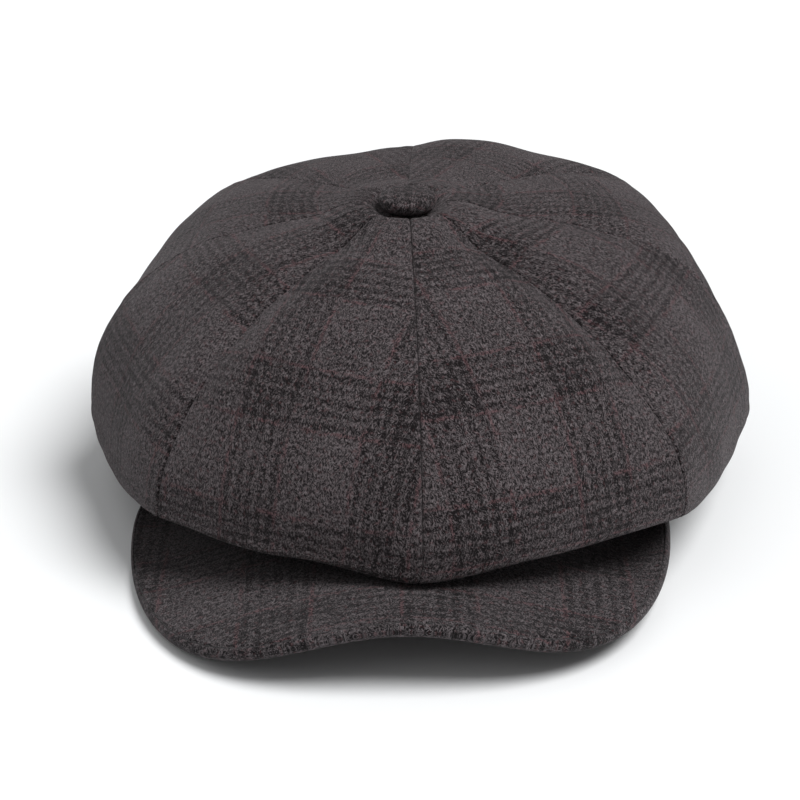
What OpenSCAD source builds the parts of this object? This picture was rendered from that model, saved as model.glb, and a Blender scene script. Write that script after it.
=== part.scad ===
// Newsboy cap: an eight-panel wool crown that bags over a headband, a stiff curved visor,
// a cloth-covered top button, a sewn lining and a sweatband.
// The origin is the middle of the head opening, on the surface that the cap stands on.
// The visor points along -Y, and +Z is up.  Azimuth 0 is the front, and 90 is +X.

/* [Head opening] */
// Half the inner width of the sweatband
head_half_w = 83.8; // [78:0.2:90]
// Half the inner length of the sweatband
head_half_l = 99.8; // [94:0.2:106]
// Height of the headband
band_h = 35; // [30:1:40]
// How far the visor lifts the front of the headband
front_rise = 21; // [10:1:26]
// Where the lower edge starts to rise, in front of the middle
rise_start = 21; // [0:1:40]

/* [Crown] */
// Half the crown's width at its widest
crown_half_w = 133; // [126:1:140]
// Half the crown's length at its widest
crown_half_l = 144; // [132:1:154]
// How far the crown slouches sideways
crown_shift_x = 8; // [4:1:10]
// How far the crown's middle lies behind the head opening's middle
crown_shift_y = 11.5; // [6:0.5:14]
// Height of the panels' meeting point
apex_h = 123; // [119:1:127]
// Sideways place of the meeting point
apex_x = 3; // [0:0.5:6]
// Place of the meeting point along the cap
apex_y = -6; // [-8:1:0]
// Height at which the crown is widest
widest_h = 34; // [32:1:38]
// How much higher that is at the front
front_lift = 3.5; // [0:0.5:6]
// How straight the panels run from seam to seam, at the widest level
flatness = 0.65; // [0:0.05:0.8]
// Fullness of the front's profile, where 2 is an ellipse
front_full = 1.8; // [1.75:0.05:2.2]
// Fullness of the back's profile
back_full = 3.2; // [2.8:0.05:3.4]
// How much fuller the back is on its right side than on its left
lean = 0.4; // [0:0.05:0.6]
// Depth that the side and back of the crown bag down
side_bag = 26; // [22:1:30]
// Depth that the front of the crown bags down
front_bag = 24; // [21:1:27]

/* [Visor] */
// Half the visor's width
visor_half_w = 105.5; // [96:0.5:110]
// How far the visor's front edge is in front of the head opening's middle
visor_reach = 159.5; // [150:0.5:166]
// How far the curve of the edge starts in front of the middle
visor_start = 0; // [0:1:12]
// Squareness of the visor's outline, where 2 is an ellipse
visor_full = 3.05; // [2.6:0.05:3.2]
// Azimuth of the visor's ends on the headband
visor_end = 84; // [80:1:86]
// Height of the visor's middle layer at the front edge, before it leans
visor_arch = 22; // [14:0.5:24]
// Half the width of that arch
arch_half_w = 88; // [80:1:98]
// Height of the middle layer where the visor's edge comes down to the surface
visor_low = 3.4; // [3.2:0.1:4]
// How much higher the visor's right corner lies than its left
visor_roll = 6.8; // [0:0.2:7]

/* [Cloth and board] */
// Thickness of the wool cloth
wool_t = 1.8; // [1.2:0.1:2]
// Thickness of the visor's board
board_t = 1.8; // [1.4:0.1:2]
// Thickness of the lining
lining_t = 0.5; // [0.4:0.1:0.6]
// Thickness of the headband's stiffener
stiffener_t = 0.4; // [0.3:0.1:0.5]
// Thickness of the sweatband
sweatband_t = 1.2; // [1:0.1:1.4]

/* [Top button] */
// Diameter of the covered button
button_d = 22.5; // [18:0.5:26]
// Height of the covered button
button_h = 7; // [6:0.5:8]

/* [Hidden] */

panels = 8;
gore = 360 / panels;
gap = 0.1;          // air between neighbouring layers
seam_gap = 0.3;     // room for the thread that joins the crown to the headband
button_hole = 3;    // radius of the hole that the button's tie passes through
stitch_l = 3.2;     // length of one stitch
stitch_w = 0.5;     // thickness of the thread
colour_wool = [0.27, 0.25, 0.26];
colour_seam = [0.16, 0.15, 0.155];
colour_lining = [0.12, 0.12, 0.13];
colour_board = [0.75, 0.72, 0.65];
colour_metal = [0.72, 0.73, 0.75];

// Outward thickness of the layers, from the sweatband's inner face
lining_in = sweatband_t + gap;
stiffener_in = lining_in + lining_t + gap;
wool_in = stiffener_in + stiffener_t + gap;
wool_out = wool_in + wool_t;
band_half_l = head_half_l + wool_out;

// Lower edge of the headband at a place y along the cap
function edge_z(y) =
  front_rise * pow(max(0, min(1, (-y - rise_start) / (band_half_l - rise_start))), 1.5);
// Radius of the head opening's oval, grown by t, at azimuth a
function oval(a, t) = 1 / norm([sin(a) / (head_half_w + t), cos(a) / (head_half_l + t)]);
function around(a, r, z) = [r * sin(a), -r * cos(a), z];
function cubic(t, p) = pow(1 - t, 3) * p[0] + 3 * pow(1 - t, 2) * t * p[1]
  + 3 * (1 - t) * t * t * p[2] + pow(t, 3) * p[3];
function front(a) = max(0, cos(a));

// ---- crown: a point at azimuth a, where s runs from 0 at the button over the widest level
// at 1 to 2 at the headband, and t is how deep inside the cloth it lies
function straight(a, w) = 1 - w * (1 - cos(gore / 2) / cos(gore / 2 - (a + 720) % gore));
function widest_r(a) = 1 / norm([sin(a) / crown_half_w, cos(a) / crown_half_l]);
function widest_z(a) = widest_h + front_lift * cos(a);
function fullness(a) =
  front_full + (back_full - front_full + lean * sin(a)) * pow((1 - cos(a)) / 2, 1.7);
function dome_rz(a, s) = let (c = 2 / fullness(a), k = sin(90 * s), w = flatness * pow(k, 0.8))
  [widest_r(a) * straight(a, w) * pow(k, c),
   widest_z(a) + (apex_h - widest_z(a)) * pow(cos(90 * s), c)];
function bag_rz(a, q) =
  let (r = widest_r(a) * straight(a, flatness), z = widest_z(a), e = oval(a, wool_in),
       top = edge_z(-e * cos(a)) + band_h + seam_gap,
       bag = side_bag + (front_bag - side_bag) * front(a))
  cubic(q, [[r, z], [r + 1, z - bag], [e + 20, top], [e, top]]);
function crown_rz(a, s) = s < 1 ? dome_rz(a, s) : bag_rz(a, s - 1);
function crown_shift(s) = s < 1
  ? [apex_x, apex_y] + (([crown_shift_x, crown_shift_y] - [apex_x, apex_y]) * sin(90 * s))
  : [crown_shift_x, crown_shift_y] * (2 - s);
// The cloth's outward direction in the upright plane through azimuth a
function crown_out(a, s) =
  let (lo = max(0.01, s - 0.01), hi = min(2, s + 0.01), d = crown_rz(a, hi) - crown_rz(a, lo))
  [-d[1], d[0]] / norm(d);
function crown_pt(a, s, t) =
  let (p = crown_rz(a, s) - t * crown_out(a, s), c = crown_shift(s))
  around(a, p[0], p[1]) + [c[0], c[1], 0];
// Where the dome's profile reaches the button's hole, and the rows of points below it
crown_top = asin(button_hole / crown_half_w) / 90;
crown_rows = concat([for (i = [0:9]) crown_top + (1 - crown_top) * i / 10],
                    [for (i = [0:8]) 1 + i / 8]);

// ---- lining: q runs from 0 at its lower edge to 1 at the top
lining_tuck = 8;      // how far the lining reaches down behind the sweatband
lining_clear = 3;     // how far it stands straight up past the crown's seam
lining_bulge = 30;    // how far it swells past the headband at the sides and back
front_bulge = 10;     // and at the front, where the crown slopes more
lining_drop = 11;     // how far its top hangs below the crown's
function lining_rz(a, q, t) =
  let (e = oval(a, lining_in + lining_t - t), top = edge_z(-e * cos(a)) + band_h,
       up = apex_h - lining_drop - t, bulge = lining_bulge + (front_bulge - lining_bulge) * front(a),
       shoulder = 0.8 - 0.3 * front(a))
  q < 0.1 ? [e, top - lining_tuck + q * 10 * (lining_tuck + lining_clear)]
  : cubic((q - 0.1) / 0.9, [[e, top + lining_clear], [e + bulge, top + 21 - t / 2],
                            [shoulder * e, up], [button_hole, up]]);
function lining_pt(a, q, t) =
  let (p = lining_rz(a, q, t), k = q < 0.1 ? 0 : (q - 0.1) / 0.9)
  around(a, p[0], p[1]) + [apex_x * k, apex_y * k, 0];

// ---- visor: u runs from -1 to 1 along the edge, v from 0 at the headband to 1 at the edge
visor_inset = 2.6;    // width of the turned lip outside the board
function power(x, n) = sign(x) * pow(abs(x), n);
function visor_edge(u) =
  let (x = visor_half_w * power(sin(90 * u), 2 / visor_full),
       y = -visor_start - (visor_reach - visor_start) * pow(cos(90 * u), 2 / visor_full),
       arch = pow(cos(90 * min(1, abs(x) / arch_half_w)), 2),
       lift = visor_roll * (1 + x / visor_half_w) / 2)
  [x, y, visor_low + (visor_arch - visor_low) * arch + lift];
function visor_root(u) =
  let (a = visor_end * u, e = oval(a, wool_out + 0.2))
  around(a, e, edge_z(-e * cos(a)) + 3);
function visor_mid(u, v) =
  let (p = visor_root(u), k = v * sqrt(1 - pow(abs(u), 40)), d = visor_edge(u) - p)
  [p[0] + d[0] * k, p[1] + d[1] * k, p[2] + d[2] * pow(k, 1.2)];
function visor_up(u, v) =
  let (du = visor_mid(min(0.98, u + 0.01), v) - visor_mid(max(-0.98, u - 0.01), v),
       dv = visor_mid(u, min(1, v + 0.02)) - visor_mid(u, max(0, v - 0.02)), n = cross(dv, du))
  n / norm(n) * (n[2] > 0 ? 1 : -1);
function visor_pt(u, v, h) = visor_mid(u, v) + h * visor_up(u, v);
// Share of the way out at which the board ends
visor_board_v = 1 - visor_inset / (visor_reach - band_half_l);
// Height of a cover's outer face above the middle layer, rounded down to the edge
function lip(v) =
  let (k = max(0, (v - visor_board_v) / (1 - visor_board_v)))
  0.3 + (board_t / 2 + wool_t - 0.3) * sqrt(max(0, 1 - k * k));
visor_ends = 0.995;   // the tips stop just short of a point
visor_cols = 36;

// ---- solids between two faces of points, face[row][column]
module sheet_solid(outer, inner) {
  rows = len(outer);
  cols = len(outer[0]);
  points = [for (face = [outer, inner]) for (row = face) for (p = row) p];
  function at(f, i, j) = f * rows * cols + i * cols + j;
  faces = concat(
    [for (i = [0:rows - 2]) for (j = [0:cols - 2]) each [
      [at(0, i, j), at(0, i, j + 1), at(0, i + 1, j)],
      [at(0, i, j + 1), at(0, i + 1, j + 1), at(0, i + 1, j)],
      [at(1, i, j), at(1, i + 1, j), at(1, i, j + 1)],
      [at(1, i, j + 1), at(1, i + 1, j), at(1, i + 1, j + 1)]]],
    [for (i = [0:rows - 2]) for (j = [0, cols - 1]) each wall(at(0, i, j), at(0, i + 1, j),
      at(1, i, j), at(1, i + 1, j), j == 0)],
    [for (j = [0:cols - 2]) for (i = [0, rows - 1]) each wall(at(0, i, j), at(0, i, j + 1),
      at(1, i, j), at(1, i, j + 1), i > 0)]);
  polyhedron(points, faces, convexity = 6);
}
function wall(a, b, c, d, flip) = flip ? [[a, b, c], [b, d, c]] : [[a, c, b], [b, c, d]];

module crown_panel(k, shade) {
  cols = 8;
  face = function (t) [for (s = crown_rows) [for (j = [0:cols])
    crown_pt((k + j / cols) * gore, s, t)]];
  color(colour_wool * shade) sheet_solid(face(0), face(wool_t));
}

module lining_panel(k) {
  cols = 6;
  rows = 12;
  qs = [for (i = [0:rows]) i < 2 ? i * 0.1 : 0.1 + 0.9 * (i - 1) / (rows - 1)];
  face = function (t) [for (q = qs) [for (j = [0:cols]) lining_pt((k + j / cols) * gore, q, t)]];
  color(colour_lining) sheet_solid(face(lining_t), face(0));
}

// A layer of the headband: an oval ring cut to follow the lifted front
module band_layer(t_in, t_out, z_low, z_high) {
  steps = 96;
  ys = [for (i = [0:20]) -rise_start - (band_half_l + 6 - rise_start) * i / 20];
  ring = function (t) [for (i = [0:steps - 1]) let (a = i * 360 / steps)
    let (p = around(a, oval(a, t), 0)) [p[0], p[1]]];
  intersection() {
    linear_extrude(height = 3 * band_h) difference() {
      polygon(ring(t_out));
      polygon(ring(t_in));
    }
    rotate([90, 0, 90]) translate([0, 0, -150]) linear_extrude(height = 300)
      polygon(concat(
        [[150, z_low]], [for (y = ys) [y, edge_z(y) + z_low]],
        [for (i = [20:-1:0]) [ys[i], edge_z(ys[i]) + z_high]], [[150, z_high]]));
  }
}

module visor_layer(vs, low, high) {
  us = [for (i = [0:visor_cols]) visor_ends * power(sin(90 * (2 * i / visor_cols - 1)), 1.5)];
  face = function (h) [for (v = vs) [for (u = us) visor_pt(u, v, h(v))]];
  sheet_solid(face(high), face(low));
}
cover_vs = [0, 0.2, 0.4, 0.6, 0.8, visor_board_v - 0.02, visor_board_v + 0.02,
            1 - (1 - visor_board_v) * 0.45, 1 - (1 - visor_board_v) * 0.15, 1];
// Height of a cover's inner face, which closes onto the other cover outside the board
function cover_in(v) = v < visor_board_v ? board_t / 2 + gap / 2 : gap / 2;

module visor_top_cover()
  color(colour_wool) visor_layer(cover_vs, function (v) cover_in(v), function (v) lip(v));
module visor_under_cover()
  color(colour_wool * 0.85) visor_layer(cover_vs, function (v) -lip(v), function (v) -cover_in(v));
module visor_board()
  color(colour_board) visor_layer([for (i = [0:5]) 0.01 + (visor_board_v - 0.04) * i / 5],
    function (v) -board_t / 2, function (v) board_t / 2);

// One row of stitches along the lip on each face of the visor
module visor_edge_stitching() {
  v = visor_board_v - 0.005;
  count = 62;
  color(colour_seam) for (side = [-1, 1]) for (i = [0:count - 1]) {
    u = 0.93 * power(2 * (i + 0.5) / count - 1, 1.5);
    p = visor_pt(u, v, side * (lip(v) + 0.3));
    d = visor_mid(u + 0.005, v) - visor_mid(u - 0.005, v);
    translate(p)
      rotate([0, -asin(d[2] / norm(d)), atan2(d[1], d[0])])
        cube([stitch_l, stitch_w, stitch_w / 2], center = true);
  }
}

// ---- top button, in its own frame: the crown's top is at z = 0 on the axis
module at_apex() translate([apex_x, apex_y, apex_h]) children();
button_r = button_d / 2;
button_floor = 0.5;            // the cover's lower face stands just above the cloth
cover_t = 1.3;
shell_t = 0.5;
turned_in = 7.5;               // radius to which the cover wraps under the shell
function dome_profile(r, h, z0) = [for (i = [0:16]) let (a = 90 * i / 16)
  [r * pow(cos(a), 0.8), z0 + h * sin(a)]];

module button_cover() color(colour_wool * 1.05) at_apex() rotate_extrude($fn = 64) difference() {
  polygon(concat([[0, button_floor]], [[button_r - 1, button_floor]],
                 dome_profile(button_r, button_h - 1, button_floor + 1)));
  polygon(concat([[0, button_floor - 1], [turned_in, button_floor - 1],
                  [turned_in, button_floor + cover_t]],
                 dome_profile(button_r - cover_t, button_h - 1 - cover_t, button_floor + cover_t)));
}
module button_shell() color(colour_metal) at_apex() rotate_extrude($fn = 64) difference() {
  polygon(concat([[0, button_floor + cover_t + gap]],
    dome_profile(button_r - cover_t - gap, button_h - 1 - cover_t - gap,
                 button_floor + cover_t + gap)));
  polygon(concat([[0, button_floor]],
    [[button_r - cover_t - gap - shell_t, button_floor]],
    dome_profile(button_r - cover_t - gap - shell_t, button_h - 1 - cover_t - gap - shell_t,
                 button_floor + cover_t + gap)));
}
module button_back() color(colour_metal * 0.9) at_apex()
  translate([0, 0, button_floor + cover_t + gap]) difference() {
    cylinder(r = button_r - cover_t - shell_t - 2 * gap - 0.4, h = 0.6, $fn = 64);
    translate([0, 0, -1]) cylinder(r = 1.6, h = 3, $fn = 48);
  }
// The tie is a twisted bundle of thread, knotted inside the button and under the patches
tie_r = 1.2;
module button_tie() color("black") at_apex() {
  translate([0, 0, -lining_drop - 1.6])
    cylinder(r = tie_r, h = lining_drop + 1.6 + button_floor + cover_t + 1.4, $fn = 32);
  translate([0, 0, button_floor + cover_t + 0.9]) cylinder(r = 2.6, h = 1.2, $fn = 32);
  translate([0, 0, -lining_drop - 2.6]) cylinder(r = 2.6, h = 1, $fn = 32);
}
module patch(r, z, t) at_apex() translate([0, 0, z]) difference() {
  cylinder(r = r, h = t, $fn = 64);
  translate([0, 0, -1]) cylinder(r = tie_r + gap, h = t + 2, $fn = 48);
}
module crown_centre_patch() color(colour_seam) patch(15, -wool_t - 2.6, 0.8);
module lining_centre_patch() color(colour_lining * 1.3)
  patch(11, -lining_drop - lining_t - 0.9, lining_t);

module headband() color(colour_wool * 0.95) band_layer(wool_in, wool_out, 0, band_h);
module headband_stiffener() color(colour_board)
  band_layer(stiffener_in, stiffener_in + stiffener_t, 1, band_h - 1);
module sweatband() color([0.1, 0.1, 0.105]) band_layer(0, sweatband_t, 0.6, band_h - 2);
module sweatband_stitching() color([0.3, 0.3, 0.31])
  band_layer(-0.35, -0.05, band_h - 5.5, band_h - 5);

crown_panel(0, 1);  // crown_panel_front_right
crown_panel(1, 1.04);  // crown_panel_side_front_right
crown_panel(2, 0.98);  // crown_panel_side_back_right
crown_panel(3, 1.03);  // crown_panel_back_right
crown_panel(4, 0.97);  // crown_panel_back_left
crown_panel(5, 1.05);  // crown_panel_side_back_left
crown_panel(6, 1);  // crown_panel_side_front_left
crown_panel(7, 0.97);  // crown_panel_front_left
headband();
headband_stiffener();
visor_top_cover();
visor_under_cover();
visor_board();
visor_edge_stitching();
button_cover();
button_shell();
button_back();
button_tie();
crown_centre_patch();
lining_panel(0);  // lining_panel_front_right
lining_panel(1);  // lining_panel_side_front_right
lining_panel(2);  // lining_panel_side_back_right
lining_panel(3);  // lining_panel_back_right
lining_panel(4);  // lining_panel_back_left
lining_panel(5);  // lining_panel_side_back_left
lining_panel(6);  // lining_panel_side_front_left
lining_panel(7);  // lining_panel_front_left
lining_centre_patch();
sweatband();
sweatband_stitching();
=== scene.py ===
"""Newsboy cap: cloth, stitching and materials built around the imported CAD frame."""
import math

import bpy
import numpy as np
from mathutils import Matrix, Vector


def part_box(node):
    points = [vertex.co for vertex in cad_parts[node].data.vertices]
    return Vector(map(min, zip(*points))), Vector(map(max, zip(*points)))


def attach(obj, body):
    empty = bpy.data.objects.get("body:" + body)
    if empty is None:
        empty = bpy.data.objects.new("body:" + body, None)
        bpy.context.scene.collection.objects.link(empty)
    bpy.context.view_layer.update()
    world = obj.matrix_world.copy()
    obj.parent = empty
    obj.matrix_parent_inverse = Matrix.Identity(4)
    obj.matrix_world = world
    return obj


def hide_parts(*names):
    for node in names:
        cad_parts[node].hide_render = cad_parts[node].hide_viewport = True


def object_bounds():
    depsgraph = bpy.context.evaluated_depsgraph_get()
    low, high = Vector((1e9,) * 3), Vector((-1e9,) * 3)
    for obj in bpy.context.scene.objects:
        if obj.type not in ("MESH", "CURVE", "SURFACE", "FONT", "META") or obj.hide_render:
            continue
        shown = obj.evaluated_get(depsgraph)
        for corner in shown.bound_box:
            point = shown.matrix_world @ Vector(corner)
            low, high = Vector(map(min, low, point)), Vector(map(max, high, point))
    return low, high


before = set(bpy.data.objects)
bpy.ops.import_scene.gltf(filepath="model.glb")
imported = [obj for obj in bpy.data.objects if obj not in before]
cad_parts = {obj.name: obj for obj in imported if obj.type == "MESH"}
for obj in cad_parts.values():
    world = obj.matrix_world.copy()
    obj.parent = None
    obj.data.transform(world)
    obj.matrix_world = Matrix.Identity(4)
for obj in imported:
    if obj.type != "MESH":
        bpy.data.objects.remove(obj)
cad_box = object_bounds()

MM = 0.001              # the shapes below are worked out in millimetres
SIDES = ["front_right", "side_front_right", "side_back_right", "back_right",
         "back_left", "side_back_left", "side_front_left", "front_left"]
GORE = math.tau / len(SIDES)


def span(*nodes):
    """Lowest and highest corner of these CAD nodes together, in millimetres."""
    boxes = [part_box(n) for n in nodes]
    return (np.min([lo for lo, hi in boxes], axis=0) / MM,
            np.max([hi for lo, hi in boxes], axis=0) / MM)


# ---- driving dimensions, from the frame where a CAD node's box gives them
crown_lo, crown_hi = span(*["crown_panel_" + side for side in SIDES])
band_hi = span("headband")[1]
sweat_hi = span("sweatband")[1]
button_lo, button_hi = span("button_cover")

BAND_H = 35.0
FRONT_RISE = band_hi[2] - BAND_H
RISE_START = 21.0                       # the lower edge is level behind this, in front of the middle
CROWN_SHIFT = (crown_lo + crown_hi)[:2] / 2
CROWN_HALF = (crown_hi - crown_lo)[:2] / 2
APEX = np.array([*(button_lo + button_hi)[:2] / 2, crown_hi[2]])
WIDEST_H, FRONT_LIFT = 34.0, 3.5        # height of the widest level, and how much higher in front
FLATNESS = 0.65                         # how straight the panels run from seam to seam
FRONT_FULL, BACK_FULL = 1.8, 3.2        # roundness of the profile, where 2 is an ellipse
LEAN = 0.4                              # how much fuller the back is on the right than on the left
SIDE_BAG, FRONT_BAG = 26.0, 24.0        # depth that the crown bags down
SEAM_GAP = 0.3
WOOL_T, BOARD_T, LINING_T = 1.8, 1.8, 0.5
BUTTON_HOLE = 3.0
BUTTON_R = (button_hi - button_lo)[0] / 2

VISOR_HALF_W, VISOR_REACH, VISOR_FULL = 105.5, 159.5, 3.05
VISOR_END = math.radians(84)            # azimuth of the visor's ends on the headband
VISOR_ARCH, ARCH_HALF_W, VISOR_LOW = 22.0, 88.0, 3.4
VISOR_ROLL = 6.8                        # how much higher the right corner lies than the left
VISOR_ROOT = 3.0                        # height of its middle layer above the headband's lower edge
VISOR_DROOP, TIP_ROUND = 1.2, 40        # how it drops towards the edge, and how blunt its ends are

BAND_OUT = band_hi[:2]                  # half width and half length of the headband's outer face
BAND_IN = BAND_OUT - WOOL_T
SWEAT_OUT = np.array([sweat_hi[0], sweat_hi[1]])
SWEAT_T = 1.2
LINING_OUT = SWEAT_OUT + 0.1 + LINING_T


# ---- the cap's shape, as in the CAD model: azimuth a is 0 at the front and grows towards +X
def edge_z(y):
    """Height of the headband's lower edge at a place y along the cap."""
    run = np.clip((-y - RISE_START) / (BAND_OUT[1] - RISE_START), 0, 1)
    return FRONT_RISE * run ** 1.5


def oval(a, half):
    """Radius at azimuth a of an oval with this half width and half length."""
    return 1 / np.hypot(np.sin(a) / half[0], np.cos(a) / half[1])


def around(a, r, z, centre=(0, 0)):
    """Points at azimuth a, radius r and height z about an upright axis."""
    return np.stack([centre[0] + r * np.sin(a), centre[1] - r * np.cos(a), z + 0 * r], -1)


def cubic(t, p):
    """Place t, from 0 to 1, on a Bezier curve with four control values."""
    return ((1 - t) ** 3 * p[0] + 3 * (1 - t) ** 2 * t * p[1]
            + 3 * (1 - t) * t * t * p[2] + t ** 3 * p[3])


def smooth(lo, hi, x):
    """0 up to lo, rising smoothly to 1 at hi."""
    t = np.clip((x - lo) / (hi - lo), 0, 1)
    return t * t * (3 - 2 * t)


def front(a):
    """1 at the front, falling to 0 at the sides and behind."""
    return np.clip(np.cos(a), 0, 1)


def straight(a, w):
    """Share of an oval's radius where the panels run straight from seam to seam to the degree w."""
    return 1 - w * (1 - math.cos(GORE / 2) / np.cos(GORE / 2 - a % GORE))


def crown_profile(a, s):
    """Radius and height of the crown at azimuth a: s is 0 at the button, 1 at the widest level and
    2 at the headband."""
    theta = np.clip(s, 0, 1) * math.pi / 2
    widest = WIDEST_H + FRONT_LIFT * np.cos(a)
    back = ((1 - np.cos(a)) / 2) ** 1.7
    power = 2 / (FRONT_FULL + (BACK_FULL - FRONT_FULL + LEAN * np.sin(a)) * back)
    flat = FLATNESS * np.sin(theta) ** 0.8
    rim = oval(a, CROWN_HALF)
    dome_r = rim * straight(a, flat) * np.sin(theta) ** power
    dome_z = widest + (APEX[2] - widest) * np.clip(np.cos(theta), 0, 1) ** power
    q = np.clip(s - 1, 0, 1)
    rim = rim * straight(a, FLATNESS)
    end = oval(a, BAND_IN)
    top = edge_z(-oval(a, BAND_OUT) * np.cos(a)) + BAND_H + SEAM_GAP
    bag = SIDE_BAG + (FRONT_BAG - SIDE_BAG) * front(a)
    bag_r = cubic(q, [rim, rim + 1, end + 20, end])
    bag_z = cubic(q, [widest, widest - bag, top, top])
    return np.where(s < 1, dome_r, bag_r), np.where(s < 1, dome_z, bag_z)


def crown_frame(a, s):
    """Point on the crown's smooth surface, and the outward direction there."""
    r, z = crown_profile(a, s)
    r0, z0 = crown_profile(a, np.maximum(0.01, s - 0.01))
    r1, z1 = crown_profile(a, np.minimum(2, s + 0.01))
    run, rise = r1 - r0, z1 - z0
    size = np.hypot(run, rise)
    k = np.sin(np.clip(s, 0, 1) * math.pi / 2)[..., None]
    middle = np.where(s[..., None] < 1, APEX[:2] + (CROWN_SHIFT - APEX[:2]) * k,
                      CROWN_SHIFT * (2 - s)[..., None])
    point = around(a, r, z)
    point[..., :2] += middle
    return point, around(a, -rise / size, run / size)


# ---- small helpers for cloth
def waves(p, length, seed, count=7):
    """Smooth seeded ripples of about that wavelength, from -1 to 1, at points p."""
    rng = np.random.default_rng(seed)
    total = 0
    for _ in range(count):
        d = rng.normal(size=p.shape[-1])
        d *= rng.uniform(0.7, 1.4) / np.linalg.norm(d)
        total = total + np.sin(p @ d * math.tau / length + rng.uniform(0, math.tau))
    return total / count * 1.6


def across_panel(count, power):
    """Columns from -1 to 1 across a panel, closer together towards both seams."""
    t = np.linspace(-1, 1, count)[None, :]
    return np.sign(t) * (1 - (1 - np.abs(t)) ** power)


def seam_roll(d, width, depth):
    """How far cloth turns in at distance d from the seam that it is sewn into."""
    return -depth * (1 - np.sqrt(np.clip(1 - (1 - np.clip(d / width, 0, 1)) ** 2, 0, 1)))


def arc_length(points, axis):
    """Running length along an axis of a grid of points."""
    steps = np.linalg.norm(np.diff(points, axis=axis), axis=-1)
    pad = [(1, 0) if i == axis else (0, 0) for i in range(points.ndim - 1)]
    return np.cumsum(np.pad(steps, pad), axis=axis)


def solid_sheet(name, outer, inner, cloth, ring=False):
    """A closed piece of cloth between two grids of points. cloth is each point's place on the flat
    cut, in millimetres, and a ring's last column joins its first."""
    rows, cols = outer.shape[:2]
    index = np.arange(2 * rows * cols).reshape(2, rows, cols)
    if ring:
        index = np.concatenate([index, index[:, :, :1]], axis=2)

    def quads(a, b, c, d):
        return np.stack([a.ravel(), b.ravel(), c.ravel(), d.ravel()], -1)

    out, inn = index
    faces = [quads(out[:-1, :-1], out[:-1, 1:], out[1:, 1:], out[1:, :-1]),
             quads(inn[:-1, :-1], inn[1:, :-1], inn[1:, 1:], inn[:-1, 1:]),
             quads(out[0, :-1], inn[0, :-1], inn[0, 1:], out[0, 1:]),
             quads(out[-1, :-1], out[-1, 1:], inn[-1, 1:], inn[-1, :-1])]
    if not ring:
        faces += [quads(out[:-1, 0], out[1:, 0], inn[1:, 0], inn[:-1, 0]),
                  quads(out[:-1, -1], inn[:-1, -1], inn[1:, -1], out[1:, -1])]
    flat = np.concatenate([cloth.reshape(-1, 2)] * 2)
    points = np.concatenate([outer.reshape(-1, 3), inner.reshape(-1, 3)])
    return new_mesh(name, points, np.concatenate(faces), flat)


def new_mesh(name, points, faces, cloth, caps=()):
    """A smooth-shaded mesh object whose faces look outwards, with the cloth's flat coordinates."""
    corners = points[faces]
    volume = np.einsum("ij,ij->", np.cross(corners[:, 0], corners[:, 1]), corners[:, 2])
    faces = faces.tolist() + [list(cap) for cap in caps]
    if volume < 0:
        faces = [face[::-1] for face in faces]
    mesh = bpy.data.meshes.new(name)
    mesh.from_pydata((points * MM).tolist(), [], faces)
    flat = np.zeros((len(points), 3), np.float32)
    flat[:, :2] = cloth
    mesh.attributes.new("cloth", "FLOAT_VECTOR", "POINT").data.foreach_set("vector", flat.ravel())
    mesh.polygons.foreach_set("use_smooth", [True] * len(mesh.polygons))
    mesh.set_sharp_from_angle(angle=math.radians(60))
    mesh.update()
    obj = bpy.data.objects.new(name, mesh)
    bpy.context.scene.collection.objects.link(obj)
    return obj


def dress(obj, node, material):
    """Puts a finished piece in its CAD node's place."""
    obj.data.materials.append(material)
    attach(obj, "root")
    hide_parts(node)
    return obj


def cut_from(obj):
    """Reads a piece's flat cloth coordinates and scales them to metres; nothing further is done with them.
    """
    mesh = obj.data
    flat = np.zeros(len(mesh.vertices) * 3, np.float32)
    mesh.attributes["cloth"].data.foreach_get("vector", flat)
    flat = flat.reshape(-1, 3)[:, :2] * MM


# ---- crown
COLS, DOME_ROWS, BAG_ROWS = 72, 100, 46
# How far each panel swells between its seams, in millimetres, going round as SIDES does
PUFFS = np.array([1.6, 1.2, 2.2, 3.8, 1.2, 1.4, 1.6, 1.8])
# How deep the soft valley along each panel's first seam is near the top, and how far down it runs
VALLEY_DEPTHS = np.array([0.9, 4.6, 1.8, 1.6, 1.2, 1.2, 1.6, 3.4])
VALLEY_REACHES = np.array([0.55, 0.76, 0.45, 0.5, 0.5, 0.45, 0.4, 0.86])
# Where the plaid falls on each panel, as the panels were cut, in millimetres
PLAID_STARTS = np.array([(-18, -44), (20, -40), (9, -22), (-15, -10),
                         (22, -31), (-4, -47), (-5, -18), (12, -50)])
# How deep the cloth turns in along each panel's first seam
SEAM_DEPTHS = np.array([1.3, 1.5, 0.7, 0.6, 0.45, 0.5, 0.5, 1.9])
DIMPLE = 3.5                            # height of the cloth's soft ring round the button
FOLD_LIFT, FOLD_MIDDLE = 6.2, 0.13      # lift of the fold over the visor, and its share at the seam
VALLEY_W, SEAM_ROLL_W = 9.0, 1.4        # how wide the valleys and the turned-in seams are
PUCKER_H, PUCKER_LENGTH = 0.3, 9        # height and wavelength of the puckers beside the seams
PUCKER_START, PUCKER_REACH = 1.5, 7.0   # and the distances from a seam where they start and end
SOFT_H, SOFT_LENGTH = 1.1, 62           # broad hollows and swellings of the worn crown
SMALL_H, SMALL_LENGTH = 0.25, 24        # and small ones
GATHER_H = 0.9                          # fullness of the cloth just before it meets the headband
SEWN_THIN = 0.45                        # share of its thickness that cloth loses sewn to the headband
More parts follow.
